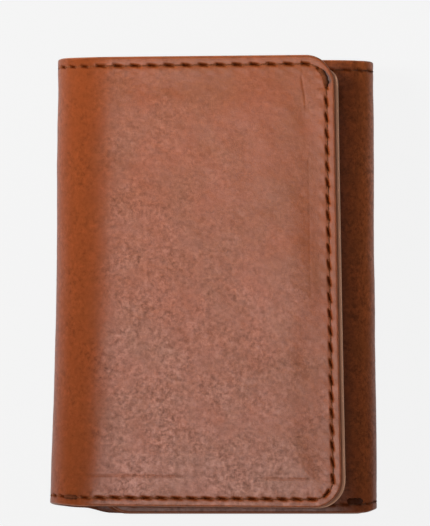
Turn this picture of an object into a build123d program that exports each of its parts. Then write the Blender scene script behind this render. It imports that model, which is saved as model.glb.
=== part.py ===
from build123d import *

import os

# Trifold wallet, closed: a stitched leather cover folded in three round its card pockets.
#
# The closed wallet lies on its back panel. +X is across the wallet, from the left fold to the right fold,
# +Y runs up the panels to the open side of the bill compartment, and +Z is the thickness. The origin is the
# centre of the back panel's outer face. All sizes are in millimetres.
#
# Every layer is one flexible sheet on the real wallet. Here it is split at the hinge lines of the two folds,
# so that each rigid body of the fold has its own node. Depths are measured inwards from the cover's outer face.

# Closed wallet
WIDTH = 80.0
HEIGHT = 110.0
THICKNESS = 21.0
TUCKED_HEIGHT = 12.9  # top of the tucked panel's cover, under the front flap
FLAP_EDGE_X = 31.0
TUCKED_EDGE_X = -26.5
CORNER_RADIUS = 6.0

# Leather, lining and film thicknesses, and the free spaces between them
COVER = 1.5
LINING = 0.4
DIVIDER = 0.8
POCKET = 0.6
FILM = 0.25
WINDOW_FRAME = 0.8
SKIN_GAP = 0.05
BILL_GAP = 0.4
CARD_GAP = 0.8

# Bill divider and card pockets
DIVIDER_TOP = 51.0
INNER_OVERHANG = 0.8  # the inner layers stand out past the cover at a free edge
POCKET_WIDTH = 60.0
POCKET_TOPS = (37.5, 29.0, 20.5)
CARD_BOTTOMS = (-35.4, -43.9, -52.4)
SEAM_ALLOWANCE = 2.3
POCKET_CORNER = 1.5

# Window over the identity card
WINDOW_CENTRE_X = 2.0
WINDOW_TOP = 40.0
WINDOW_OPENING = (46.0, 70.0)
WINDOW_OPENING_Y = -8.0
WINDOW_CORNER = 3.0
THUMB_NOTCH_RADIUS = 9.0

# Seams: a thread lies in a pressed groove on the cover, and on the face of the pockets inside
STITCH_INSET = 2.0
GROOVE_WIDTH = 1.0
GROOVE_DEPTH = 0.35
THREAD_WIDTH = 0.9
THREAD_HEIGHT = 0.3
INNER_THREAD_HEIGHT = 0.2

# Hinge lines across each fold, as polar angles of the fold's cross-section, and the slit left at each one
LEFT_HINGES = (120.0, 180.0, 240.0)
RIGHT_HINGES = (60.0, 0.0, -60.0)
HINGE_SLIT = 0.3  # degrees on each side of a hinge line

LINING_DEPTH = COVER + SKIN_GAP
DIVIDER_DEPTH = LINING_DEPTH + LINING + BILL_GAP
POCKET_STEP = CARD_GAP + POCKET
POCKET_DEPTHS = [DIVIDER_DEPTH + DIVIDER + CARD_GAP + n * POCKET_STEP for n in range(3)]
FILM_DEPTH = DIVIDER_DEPTH + DIVIDER + CARD_GAP
FRAME_DEPTH = FILM_DEPTH + FILM + SKIN_GAP
SIDE_Y = HEIGHT / 2


class Fold:
    """A half-round fold: the centre of its cross-section in X and Z, and the cover's outer radius."""

    def __init__(self, side, height):
        self.radius = height / 2
        self.x = side * (WIDTH / 2 - self.radius)
        self.z = self.radius


class Panel:
    """A flat panel. Its outer face is at z, and inward is +1 where depth grows upwards."""

    def __init__(self, x_low, x_high, z, inward, free_side):
        self.x_low = x_low
        self.x_high = x_high
        self.z = z
        self.inward = inward
        self.free_side = free_side

    def floor(self, depth, thickness):
        """Lowest z of a layer that starts at this depth."""
        return depth if self.inward > 0 else self.z - depth - thickness


LEFT = Fold(-1, THICKNESS)
RIGHT = Fold(1, TUCKED_HEIGHT)
BACK = Panel(LEFT.x, RIGHT.x, 0.0, 1, 0)
FLAP = Panel(LEFT.x, FLAP_EDGE_X, THICKNESS, -1, 1)
TUCKED = Panel(TUCKED_EDGE_X, RIGHT.x, TUCKED_HEIGHT, -1, -1)

# Each body of the fold: its flat panel, if any, and the sectors of the folds that it carries
BODIES = {
    "back": (BACK, [(LEFT, 240.0, 270.0), (RIGHT, -90.0, -60.0)]),
    "left_fold_lower": (None, [(LEFT, 180.0, 240.0)]),
    "left_fold_upper": (None, [(LEFT, 120.0, 180.0)]),
    "front_flap": (FLAP, [(LEFT, 90.0, 120.0)]),
    "right_fold_lower": (None, [(RIGHT, -60.0, 0.0)]),
    "right_fold_upper": (None, [(RIGHT, 0.0, 60.0)]),
    "tucked_panel": (TUCKED, [(RIGHT, 60.0, 90.0)]),
}


def panel_face(panel, inset, y_low, y_high, radius):
    """Outline of a layer on a panel, drawn in X and Y, with its free corners rounded. Inset shrinks it."""
    x_low = panel.x_low + (inset if panel.free_side < 0 else 0)
    x_high = panel.x_high - (inset if panel.free_side > 0 else 0)
    with BuildSketch() as face:
        with Locations(((x_low + x_high) / 2, (y_low + y_high) / 2)):
            Rectangle(x_high - x_low, y_high - y_low - 2 * inset)
        if panel.free_side:
            column = -1 if panel.free_side > 0 else 0
            fillet(face.vertices().group_by(Axis.X)[column], radius - inset)
    return face.sketch


def sector_face(fold, depth, thickness, start, end):
    """Cross-section, drawn in X and Z, of a curved layer in a fold between two polar angles."""
    hinges = LEFT_HINGES if fold is LEFT else RIGHT_HINGES
    first = start + (HINGE_SLIT if start in hinges else 0)
    last = end - (HINGE_SLIT if end in hinges else 0)
    centre = (fold.x, fold.z)
    with BuildSketch() as section:
        with BuildLine():
            outer = CenterArc(centre, fold.radius - depth, first, last - first)
            inner = CenterArc(centre, fold.radius - depth - thickness, first, last - first)
            Line(outer @ 0, inner @ 0)
            Line(outer @ 1, inner @ 1)
        make_face()
    return section.sketch


def cross_plane(y_high):
    """The X and Z plane at y_high, from which a section is extruded towards -Y."""
    return Plane.XZ.offset(-y_high)


def sheet(body, depth, thickness, y_low, y_high, overhang=0.0):
    """One layer of one body: its flat part and its curved parts in one solid."""
    panel, sectors = BODIES[body]
    flat = panel_face(panel, -overhang, y_low + overhang, y_high - overhang, CORNER_RADIUS) if panel else None
    curved = [sector_face(fold, depth, thickness, start, end) for fold, start, end in sectors]
    with BuildPart() as layer:
        if flat:
            with BuildSketch(Plane.XY.offset(panel.floor(depth, thickness))):
                add(flat)
            extrude(amount=thickness)
        for section in curved:
            with BuildSketch(cross_plane(y_high)):
                add(section)
            extrude(amount=y_high - y_low)
    return layer


def seam_band(panel, width):
    """The strip a cover seam follows on a panel, drawn in X and Y: along both edges and round the free end."""
    near = STITCH_INSET - width / 2
    far = STITCH_INSET + width / 2
    outside = panel_face(panel, near, -SIDE_Y, SIDE_Y, CORNER_RADIUS)
    inside = panel_face(panel, far, -SIDE_Y, SIDE_Y, CORNER_RADIUS)
    with BuildSketch() as band:
        add(outside)
        add(inside, mode=Mode.SUBTRACT)
    return band.sketch


def seam(body, width, depth, height):
    """The run of the cover seam on one body: the flat strip and the curved strips at the top and bottom edges."""
    panel, sectors = BODIES[body]
    flat = seam_band(panel, width) if panel else None
    curved = [sector_face(fold, depth, height, start, end) for fold, start, end in sectors]
    with BuildPart() as run:
        if flat:
            with BuildSketch(Plane.XY.offset(panel.floor(depth, height))):
                add(flat)
            extrude(amount=height)
        for section in curved:
            for line in (SIDE_Y - STITCH_INSET, STITCH_INSET - SIDE_Y):
                with BuildSketch(cross_plane(line + width / 2)):
                    add(section)
                extrude(amount=width)
    return run


def cover(body):
    """The thick outer leather, with the seam groove pressed into its outer face."""
    leather = sheet(body, 0.0, COVER, -SIDE_Y, SIDE_Y)
    groove = seam(body, GROOVE_WIDTH, 0.0, GROOVE_DEPTH)
    with BuildPart() as grooved:
        add(leather.part)
        add(groove.part, mode=Mode.SUBTRACT)
    return grooved


def pocket_span(panel):
    """Lowest and highest X of the pockets on a panel, which end flush with the divider's free edge."""
    if panel.free_side > 0:
        return panel.x_high + INNER_OVERHANG - POCKET_WIDTH, panel.x_high + INNER_OVERHANG
    if panel.free_side < 0:
        return panel.x_low - INNER_OVERHANG, panel.x_low - INNER_OVERHANG + POCKET_WIDTH
    return WINDOW_CENTRE_X - POCKET_WIDTH / 2, WINDOW_CENTRE_X + POCKET_WIDTH / 2


def rectangle_face(x_low, x_high, y_low, y_high):
    """A plain rectangle in X and Y between two corners."""
    with BuildSketch() as face:
        with Locations(((x_low + x_high) / 2, (y_low + y_high) / 2)):
            Rectangle(x_high - x_low, y_high - y_low)
    return face.sketch


def pocket_face(panel, y_low, y_high):
    """Outline of a pocket. The lowest pocket follows the cover's rounded corner at the free edge."""
    x_low, x_high = pocket_span(panel)
    outline = rectangle_face(x_low, x_high, y_low, y_high)
    with BuildSketch() as face:
        add(outline)
        fillet(face.vertices().group_by(Axis.Y)[-1], POCKET_CORNER)
        if y_low == -SIDE_Y and panel.free_side:
            lowest = face.vertices().group_by(Axis.Y)[0]
            fillet(lowest.sort_by(Axis.X)[-1 if panel.free_side > 0 else 0], CORNER_RADIUS + INNER_OVERHANG)
    return face.sketch


def card_pocket(panel, number):
    """A leather pocket with a sewn rim at its sides and bottom, which leaves room for a card behind it."""
    top = POCKET_TOPS[number]
    card_bottom = CARD_BOTTOMS[number]
    bottom = -SIDE_Y if number == 2 else card_bottom - SEAM_ALLOWANCE
    depth = POCKET_DEPTHS[number]
    rim = CARD_GAP - SKIN_GAP
    x_low, x_high = pocket_span(panel)
    outline = pocket_face(panel, bottom, top)
    room = rectangle_face(x_low + SEAM_ALLOWANCE, x_high - SEAM_ALLOWANCE, card_bottom, top)
    with BuildPart() as pocket:
        with BuildSketch(Plane.XY.offset(panel.floor(depth, POCKET))):
            add(outline)
        extrude(amount=POCKET)
        with BuildSketch(Plane.XY.offset(panel.floor(depth - rim, rim))):
            add(outline)
            add(room, mode=Mode.SUBTRACT)
        extrude(amount=rim)
    return pocket


def window_frame():
    """The leather frame over the identity card, with a round thumb notch in its top edge."""
    outline = pocket_face(BACK, -SIDE_Y, WINDOW_TOP)
    with BuildPart() as frame:
        with BuildSketch(Plane.XY.offset(FRAME_DEPTH)):
            add(outline)
            with Locations((WINDOW_CENTRE_X, WINDOW_OPENING_Y)):
                RectangleRounded(*WINDOW_OPENING, WINDOW_CORNER, mode=Mode.SUBTRACT)
            with Locations((WINDOW_CENTRE_X, WINDOW_TOP)):
                Circle(THUMB_NOTCH_RADIUS, mode=Mode.SUBTRACT)
        extrude(amount=WINDOW_FRAME)
    return frame


def window_film():
    """The clear film behind the frame, with a sewn rim down to the divider that leaves room for the card."""
    x_low, x_high = pocket_span(BACK)
    card_bottom = CARD_BOTTOMS[-1]
    top = WINDOW_TOP - THUMB_NOTCH_RADIUS - 1
    outline = rectangle_face(x_low, x_high, -SIDE_Y, top)
    room = rectangle_face(x_low + SEAM_ALLOWANCE, x_high - SEAM_ALLOWANCE, card_bottom, top)
    rim = CARD_GAP - SKIN_GAP
    with BuildPart() as film:
        with BuildSketch(Plane.XY.offset(FILM_DEPTH)):
            add(outline)
        extrude(amount=FILM)
        with BuildSketch(Plane.XY.offset(FILM_DEPTH - rim)):
            add(outline)
            add(room, mode=Mode.SUBTRACT)
        extrude(amount=rim)
    return film


def thread_outline(panel, inset, top):
    """A panel's pocket area in X and Y, up to top, shrunk by inset at its sides and bottom."""
    x_low, x_high = pocket_span(panel)
    with BuildSketch() as outline:
        add(rectangle_face(x_low + inset, x_high - inset, inset - SIDE_Y, top))
        fillet(outline.vertices().group_by(Axis.Y)[0], CORNER_RADIUS - inset)
    return outline.sketch


def pocket_thread(panel, depth, top):
    """The thread inside a panel, along the sides and bottom of its front-most pocket."""
    outside = thread_outline(panel, STITCH_INSET - THREAD_WIDTH / 2, top)
    inside = thread_outline(panel, STITCH_INSET + THREAD_WIDTH / 2, top)
    with BuildPart() as thread:
        with BuildSketch(Plane.XY.offset(panel.floor(depth, INNER_THREAD_HEIGHT))):
            add(outside)
            add(inside, mode=Mode.SUBTRACT)
        extrude(amount=INNER_THREAD_HEIGHT)
    return thread


def save(builder, name):
    """Labels a finished piece and writes it as its own STEP file."""
    builder.part.label = name
    export_step(builder.part, f"parts/{name}.step")


os.makedirs("parts", exist_ok=True)

for body in BODIES:
    save(cover(body), f"cover_{body}")
    save(sheet(body, LINING_DEPTH, LINING, -SIDE_Y, SIDE_Y), f"lining_{body}")
    save(sheet(body, DIVIDER_DEPTH, DIVIDER, -SIDE_Y, DIVIDER_TOP, INNER_OVERHANG), f"bill_divider_{body}")
    save(seam(body, THREAD_WIDTH, SKIN_GAP / 2, THREAD_HEIGHT), f"cover_thread_{body}")

for panel, place in ((FLAP, "front_flap"), (TUCKED, "tucked_panel")):
    for number, level in enumerate(("upper", "middle", "lower")):
        save(card_pocket(panel, number), f"{level}_card_pocket_{place}")
    pocket_face_depth = POCKET_DEPTHS[-1] + POCKET
    save(pocket_thread(panel, pocket_face_depth, POCKET_TOPS[-1]), f"pocket_thread_{place}")

save(window_frame(), "id_window_frame")
save(window_film(), "id_window_film")
save(pocket_thread(BACK, FRAME_DEPTH + WINDOW_FRAME, WINDOW_TOP - POCKET_CORNER), "id_window_thread")
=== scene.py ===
"""Looks of the trifold wallet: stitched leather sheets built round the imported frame.

Lengths are in millimetres until a mesh is made. Every sheet is laid out flat first, in (u, y): u runs
along the cover's outer face from the front flap's free edge, round the left fold, across the back, round
the right fold and along the tucked panel, and y runs up the wallet. fold() then wraps (u, y, depth) round
the closed wallet, where depth is measured inwards from the cover's outer face.
"""

import math

import bmesh
import bpy
import numpy as np
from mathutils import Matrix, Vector


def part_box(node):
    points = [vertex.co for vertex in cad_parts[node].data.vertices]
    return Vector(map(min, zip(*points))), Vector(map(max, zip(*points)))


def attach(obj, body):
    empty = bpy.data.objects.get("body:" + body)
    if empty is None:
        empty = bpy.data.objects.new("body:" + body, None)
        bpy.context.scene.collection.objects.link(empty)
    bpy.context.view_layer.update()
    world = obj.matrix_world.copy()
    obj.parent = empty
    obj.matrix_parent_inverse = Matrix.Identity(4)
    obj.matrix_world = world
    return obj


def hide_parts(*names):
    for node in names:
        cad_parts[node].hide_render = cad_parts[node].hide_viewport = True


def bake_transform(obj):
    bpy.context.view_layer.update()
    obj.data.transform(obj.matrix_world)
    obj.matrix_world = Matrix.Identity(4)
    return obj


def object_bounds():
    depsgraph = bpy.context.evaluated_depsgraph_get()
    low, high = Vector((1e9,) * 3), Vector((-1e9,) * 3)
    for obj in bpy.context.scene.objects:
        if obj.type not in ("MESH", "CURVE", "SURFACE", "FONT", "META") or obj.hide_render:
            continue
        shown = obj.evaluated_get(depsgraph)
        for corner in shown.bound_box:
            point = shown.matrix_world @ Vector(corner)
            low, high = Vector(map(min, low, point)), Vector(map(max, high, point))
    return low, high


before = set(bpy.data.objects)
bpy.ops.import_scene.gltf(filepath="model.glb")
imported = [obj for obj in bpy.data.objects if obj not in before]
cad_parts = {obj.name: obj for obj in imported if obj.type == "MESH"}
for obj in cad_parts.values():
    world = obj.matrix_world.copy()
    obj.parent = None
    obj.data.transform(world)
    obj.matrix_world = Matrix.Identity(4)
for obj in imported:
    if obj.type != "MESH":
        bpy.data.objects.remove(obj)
cad_low, cad_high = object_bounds()

MM = 0.001


# ------ sizes from the frame

def box_mm(node):
    """Lowest and highest corner of a CAD node, in millimetres."""
    low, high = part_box(node)
    return np.array(low) / MM, np.array(high) / MM


FLAP_HIGH = box_mm("cover_front_flap")[1]
TUCKED_LOW, TUCKED_HIGH = box_mm("cover_tucked_panel")
FRAME_LOW, FRAME_HIGH = box_mm("id_window_frame")

HALF_WIDTH = cad_high.x / MM
HALF_HEIGHT = FLAP_HIGH[1]
LEFT_R = FLAP_HIGH[2] / 2
RIGHT_R = TUCKED_HIGH[2] / 2
LEFT_X = LEFT_R - HALF_WIDTH
RIGHT_X = HALF_WIDTH - RIGHT_R
FLAP_EDGE = FLAP_HIGH[0]
TUCKED_EDGE = TUCKED_LOW[0]
DIVIDER_TOP = box_mm("bill_divider_back")[1][1]
INNER_OVERHANG = box_mm("bill_divider_front_flap")[1][0] - FLAP_EDGE

# Path lengths at which the flap ends, the left fold ends, the back ends and the right fold ends
U_FLAP = FLAP_EDGE - LEFT_X
U_LEFT = U_FLAP + math.pi * LEFT_R
U_BACK = U_LEFT + RIGHT_X - LEFT_X
U_RIGHT = U_BACK + math.pi * RIGHT_R
U_END = U_RIGHT + RIGHT_X - TUCKED_EDGE

# Each fold has three hinges, a step apart round its bend. The sheets are cut half-way between the hinges:
# piece n spans hinge n and stands in for the CAD nodes of the bodies n and n + 1.
HINGE_STEP = math.radians(60)
FOLDS = ((U_FLAP, LEFT_R), (U_BACK, RIGHT_R))
HINGES = [start + radius * HINGE_STEP * n for start, radius in FOLDS for n in (0.5, 1.5, 2.5)]
CUTS = [start + radius * HINGE_STEP * n for start, radius in FOLDS for n in (1, 2)]
CUTS.insert(2, (U_LEFT + U_BACK) / 2)
BODIES = ["front_flap", "left_fold_upper", "left_fold_lower", "back_panel", "right_fold_lower",
          "right_fold_upper", "tucked_panel"]
LEVELS = ["upper", "middle", "lower"]

# Layer thicknesses and their depths in the roomy middle (loose) and at a sewn edge (tight)
CORNER_R = 7.2
COVER = 1.5
LINING = 0.4
DIVIDER = 0.8
POCKET = 0.6
CARD_ROOM = 0.55
WINDOW_LEATHER = 0.8
LOOSE_LINING = 1.55
LOOSE_DIVIDER = 2.35
TIGHT_LINING = COVER
TIGHT_DIVIDER = COVER + LINING

# The seam, and how much is pared off the cover along the flap's free edge
SEAM_INSET = 2.1
STITCH = 4.0
THREAD_R = 0.25
SKIVE = 0.8

# The folds' section is half an oval: how far it bulges out from the round fold's centre and how far inside
# that centre it starts, which is less towards the left one's bottom
LEFT_BULGE, RIGHT_BULGE = 8.9, 5.2
LEFT_START, RIGHT_START = 6.2, 9.0
LEFT_START_MOVE = 2.0


# ------ small maths

def smooth(value, low, high):
    """0 below low, 1 above high, smooth between."""
    t = np.clip((value - low) / (high - low), 0.0, 1.0)
    return t * t * (3 - 2 * t)


def bell(value, width):
    return np.exp(-np.square(value / width))


def field(u, y, wavelength, seed):
    """A smooth random field of about unit height."""
    rng = np.random.default_rng(seed)
    total = np.zeros(np.broadcast(u, y).shape)
    waves = 14
    for _ in range(waves):
        angle = rng.uniform(0, 2 * math.pi)
        k = 2 * math.pi / wavelength * rng.uniform(0.6, 1.5)
        phase = rng.uniform(0, 2 * math.pi)
        total = total + np.sin(k * (math.cos(angle) * u + math.sin(angle) * y) + phase)
    return total / math.sqrt(waves / 2)


def unit(vectors):
    return vectors / np.linalg.norm(vectors, axis=1)[:, None]


def length_along(points):
    """The length along a line of points, at each of them."""
    steps = np.linalg.norm(np.diff(points, axis=0), axis=1)
    return np.concatenate([[0], np.cumsum(steps)])


def arc(x, y, radius, start, end, count):
    """Points of an arc round (x, y), whose start and end are in right angles."""
    turns = np.linspace(start, end, count) * math.pi / 2
    return [(x + radius * math.cos(turn), y + radius * math.sin(turn)) for turn in turns]


# ------ the folded path

def fold_frame(u):
    """X and Z of the cover's outer face at path length u, and its outward normal."""
    left = np.clip((u - U_FLAP) / LEFT_R, 0, math.pi)
    right = np.clip((u - U_BACK) / RIGHT_R, 0, math.pi)
    angle = math.pi / 2 + left + right
    nx, nz = np.cos(angle), np.sin(angle)
    on = [u < U_FLAP, u < U_LEFT, u < U_BACK, u < U_RIGHT]
    x = np.select(on, [LEFT_X + U_FLAP - u, LEFT_X + LEFT_R * nx, LEFT_X + u - U_LEFT,
                       RIGHT_X + RIGHT_R * nx], RIGHT_X - (u - U_RIGHT))
    z = np.select(on, [2 * LEFT_R + 0 * u, LEFT_R + LEFT_R * nz, 0 * u, RIGHT_R + RIGHT_R * nz],
                  2 * RIGHT_R + 0 * u)
    return x, z, nx, nz


def from_top(y):
    """0 at the wallet's top edge, 1 at its bottom edge."""
    return np.clip((HALF_HEIGHT - y) / (2 * HALF_HEIGHT), 0, 1)


def oval_sink(u, y):
    """How deep the folds' soft oval section lies under the round folds of the path."""
    x, z, nx, nz = fold_frame(u)
    sink = np.zeros(x.shape)
    on_left = u < (U_LEFT + U_BACK) / 2
    left_start = LEFT_START - LEFT_START_MOVE * from_top(y) ** 3
    folds = [(on_left, -1, LEFT_X, LEFT_R, LEFT_BULGE, left_start),
             (~on_left, 1, RIGHT_X, RIGHT_R, RIGHT_BULGE, RIGHT_START)]
    for side, way, middle, radius, bulge, start in folds:
        centre = middle - way * start
        reach = bulge + start
        a = (nx / reach) ** 2 + (nz / radius) ** 2
        b = -2 * ((x - centre) * nx / reach ** 2 + (z - radius) * nz / radius ** 2)
        c = ((x - centre) / reach) ** 2 + ((z - radius) / radius) ** 2 - 1
        root = (-b - np.sqrt(np.maximum(b * b - 4 * a * c, 0))) / (2 * a)
        sink = np.where(side & ((x - centre) * way > 0), root, sink)
    return sink


def hand_cut(u, x, y):
    """Moves points of a perfect box to where they lie on the real wallet."""
    down = from_top(y)
    # It widens towards the bottom, and the flap's free edge lies further in, most at the top
    towards_edge = np.clip((x - LEFT_X - 5) / (FLAP_EDGE - LEFT_X - 5), 0, 1.1) * (u < U_FLAP)
    wider = np.where(x < 0, 0.2 + 1.8 * down ** 2.6, 0.30 + 0.70 * down ** 2)
    x = x + wider * x / HALF_WIDTH - towards_edge * (2.38 - 1.6 * down + 0.3 * down ** 2)
    # The flap sits high, and its seams draw it in
    flap = 1 - smooth(u, U_FLAP, U_LEFT)
    y = y * (1 - flap * (0.014 - 0.010 * towards_edge)) + 1.05 * flap
    y = y - 0.25 * flap * smooth(HALF_HEIGHT - np.abs(y), 0.3, 2.0)
    # Both folds end higher at the bottom
    left_fold = smooth(u, U_FLAP, (U_FLAP + U_LEFT) / 2) * (1 - smooth(u, U_LEFT - 1, U_LEFT + 5))
    right_fold = bell(u - (U_BACK + U_RIGHT) / 2, 4.5)
    y = y + left_fold * (0.4 + 0.85 * down ** 3) + 0.9 * down ** 4 * right_fold
    # The tucked side reaches a little higher, and the back a little lower
    y = y + 0.4 * smooth(y, HALF_HEIGHT - 2.5, HALF_HEIGHT) * smooth(u, U_BACK - 4, U_BACK + 4)
    y = y - 0.2 * down ** 3 * smooth(u, U_LEFT + 3, U_LEFT + 12)
    return x, y


def fold(u, y, depth):
    """Points of the closed wallet for the flat coordinates u, y and a depth."""
    x, z, nx, nz = fold_frame(u)
    x, z = x - nx * depth, z - nz * depth
    x, y = hand_cut(u, x, y)
    return np.stack([x, y, np.maximum(z, 0.0)], axis=-1)


def u_of(body, x):
    """Path length of a place x on a flat panel."""
    if body == "front_flap":
        return FLAP_EDGE - x
    if body == "back_panel":
        return U_LEFT + x - LEFT_X
    return U_RIGHT + RIGHT_X - x


# ------ how the layers lie

def edge_distance(u, y):
    """Distance from the cover's outline, whose four free corners are round."""
    du = np.minimum(u, U_END - u)
    dy = HALF_HEIGHT - np.abs(y)
    corner = (du < CORNER_R) & (dy < CORNER_R)
    return np.where(corner, CORNER_R - np.hypot(CORNER_R - du, CORNER_R - dy), np.minimum(du, dy))


# The seam's straight runs, each with the corner after it: up the flap's free end, over the top, down the
# tucked end and back along the bottom, where the stitches are shorter
ARC_R = CORNER_R - SEAM_INSET
ARC_U = U_END - CORNER_R
ARC_Y = HALF_HEIGHT - CORNER_R
ARC_CENTRES = [(CORNER_R, -ARC_Y), (CORNER_R, ARC_Y), (ARC_U, ARC_Y), (ARC_U, -ARC_Y)]
SEAM_LONG = U_END - 2 * CORNER_R
SEAM_SHORT = 2 * ARC_Y
SEAM_CORNER = math.pi / 2 * ARC_R
RUNS = [SEAM_SHORT, SEAM_CORNER, SEAM_LONG, SEAM_CORNER] * 2
PITCHES = [4.05, 4.1, 4.25, 4.1, 4.05, 4.1, 3.58, 4.1]
STITCHES = [round(run / pitch) for run, pitch in zip(RUNS, PITCHES)]
RUN_STARTS = np.cumsum([0, *RUNS])
STITCH_STARTS = np.cumsum([0, *STITCHES])
SEAM_LENGTH = RUN_STARTS[-1]


def slit_length(number):
    """Length along the seam of needle slit number, which may be fractional."""
    return np.interp(number, STITCH_STARTS, RUN_STARTS)


def seam_place(q):
    """Flat coordinates of the seam at length q: up the flap's free end, over the top and round."""
    q = q % SEAM_LENGTH
    run = min(int(np.searchsorted(RUN_STARTS, q, "right")) - 1, len(RUNS) - 1)
    q = q - RUN_STARTS[run]
    side, on_corner = divmod(run, 2)
    out = math.pi - side * math.pi / 2
    if on_corner:
        side, out, q = (side + 1) % 4, out - q / ARC_R, 0.0
    u, y = ARC_CENTRES[side]
    cos, sin = math.cos(out), math.sin(out)
    return u + ARC_R * cos + q * sin, y + ARC_R * sin - q * cos


def seam_length_at(u, y):
    """Length q along the seam of the seam point nearest to each flat point."""
    du = np.minimum(u, U_END - u)
    dy = HALF_HEIGHT - np.abs(y)
    near, top = u < U_END / 2, y > 0
    on_long = np.where(top, RUN_STARTS[2] + u - CORNER_R, RUN_STARTS[6] + ARC_U - u)
    on_short = np.where(near, RUN_STARTS[0] + y + ARC_Y, RUN_STARTS[4] + ARC_Y - y)
    turned = ARC_R * np.arctan2(np.abs(y) - ARC_Y, CORNER_R - du)
    turned = np.where(near == top, turned, SEAM_CORNER - turned)
    corner = np.where(top, np.where(near, 1, 3), np.where(near, 7, 5))
    q = np.where(du < dy, on_short, on_long)
    return np.where((du < CORNER_R) & (dy < CORNER_R), RUN_STARTS[corner] + turned, q)


def droop(u, y):
    """How far the cover's outer face sinks at a sewn edge: most where the card pockets are, less at the
    flap's open top, none on the back."""
    flap = 1 - smooth(u, U_FLAP - 8, U_FLAP + 12)
    tucked = smooth(u, U_RIGHT - 8, U_RIGHT + 8)
    folds = smooth(u, U_FLAP, U_FLAP + 8) * (1 - smooth(u, U_LEFT - 8, U_LEFT))
    folds = folds + smooth(u, U_BACK + 2, U_BACK + 8) * (1 - smooth(u, U_RIGHT - 2, U_RIGHT))
    return 0.55 * flap * (1 - 0.7 * smooth(y, 20, 46)) + 0.9 * tucked + 0.2 * folds


def tightness(u, y):
    """1 along the sewn edges, 0 in the roomy middle."""
    return 1 - smooth(edge_distance(u, y), 2.4, 13.0)


def lie(u, y, loose, tight):
    """Depth of a face that lies at loose in the middle and is pressed to tight at the seams. The cover is
    skived thin along the flap's free edge, which lifts all the layers under it there."""
    tau = tightness(u, y)
    skived = SKIVE * (1 - smooth(u, 0.2, 1.9)) * (tight > 0)
    return (1 - tau) * loose + tau * (droop(u, y) + tight) + oval_sink(u, y) - skived


def seam_offset(u, y):
    """Distance across the seam's line (inwards) and along it from the nearest needle slit."""
    q = seam_length_at(u, y)
    nearest = np.round(np.interp(q, RUN_STARTS, STITCH_STARTS))
    return edge_distance(u, y) - SEAM_INSET, q - slit_length(nearest)


def askew(u, across, along):
    """Distance across a needle slit, which leans one way along the top and bottom and the other way at the
    flap's free edge."""
    lean = 0.14 - 0.34 * smooth(CORNER_R - u, 0.0, 4.5)
    return across + lean * along


def cover_outside(u, y, holes=True):
    """Depth of the cover's outer face, with the seam's groove, needle holes and puckers pressed into it."""
    depth = lie(u, y, 0.0, 0.0)
    # Soft swells away from the edges and off the back, which lies on the floor, and fine grain
    calm = smooth(edge_distance(u, y), 3.0, 9.0)
    from_back = np.abs(u - (U_LEFT + U_BACK) / 2) - (U_BACK - U_LEFT) / 2
    lying = smooth(from_back, -4, 8)
    depth = depth + lying * calm * (0.10 + 0.06 * field(u, y, 34, 3) + 0.020 * field(u, y, 11, 4))
    depth = depth + 0.005 * calm * field(u, y, 3.0, 5) + 0.004 * field(u, y, 1.7, 6)
    # The seam's groove, deeper at the slits, and the leather puffed up beside it between them
    across, along = seam_offset(u, y)
    slit = (1 - smooth(np.abs(along), 0.75, 1.35)) * (1 - 0.5 * smooth(u, U_BACK, U_BACK + 9))
    depth = depth + (0.05 + 0.04 * slit) * bell(across, 0.36)
    puff = bell(across - 1.35, 0.75) + 0.5 * bell(across + 1.15, 0.6)
    depth = depth - 0.035 * (1 - 1.6 * slit) * puff
    if holes:
        depth = depth + 0.38 * slit * bell(askew(u, across, along), 0.27)
    return depth


def impression(u, y):
    """Faint lines where the edges of the layers inside show through the flap: two upright ones and a level
    one near its bottom."""
    x = FLAP_EDGE - u
    upper = bell(x - 23.6 + 0.9 * smooth(y, 43, 51), 0.20) * smooth(y, 41, 44) * (1 - smooth(y, 49, 51))
    lower = bell(x - 24.2, 0.22) * smooth(y, -10, 0) * (1 - smooth(y, 29, 32))
    left = smooth(x, -35, -31) * (1 - smooth(x, -10, -5))
    right = smooth(x, 10, 13) * (1 - smooth(x, 22, 25))
    level = bell(y + HALF_HEIGHT - 7.2 + 0.012 * x, 0.19) * (left + right)
    return upper + 0.25 * lower + 0.95 * level


def divider_inside(u, y):
    return lie(u, y, LOOSE_DIVIDER + DIVIDER, TIGHT_DIVIDER + DIVIDER)


# ------ mesh building

def graded(low, high, fine, coarse, band, at_low=True, at_high=True):
    """Values from low to high, close together in a band next to the chosen ends."""
    marks = [low]
    if at_low:
        marks += list(np.linspace(low, low + band, max(2, round(band / fine)) + 1)[1:])
    stop = high - band if at_high else high
    start = marks[-1]
    marks += list(np.linspace(start, stop, max(2, round((stop - start) / coarse)) + 1)[1:])
    if at_high:
        marks += list(np.linspace(stop, high, max(2, round(band / fine)) + 1)[1:])
    return np.array(marks)


def round_corner(a, b, radius):
    """Moves points given by their distances a, b from two edges, so that the corner between is round."""
    zone = 2 * radius
    inside = (a < zone) & (b < zone) & (np.minimum(a, b) < radius)
    d = np.minimum(a, b)
    arm = np.maximum(a, b) - d
    r = np.maximum(radius - d, 1e-6)
    along = arm * (math.pi / 4 * r + zone - radius) / np.maximum(zone - d, 1e-6)
    angle = np.maximum(math.pi / 4 - along / r, 0.0)
    straight = np.maximum(along - math.pi / 4 * r, 0.0)
    big = radius - r * np.sin(angle) + straight
    small = radius - r * np.cos(angle)
    new_a = np.where(a >= b, big, small)
    new_b = np.where(a >= b, small, big)
    return np.where(inside, new_a, a), np.where(inside, new_b, b)


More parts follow.
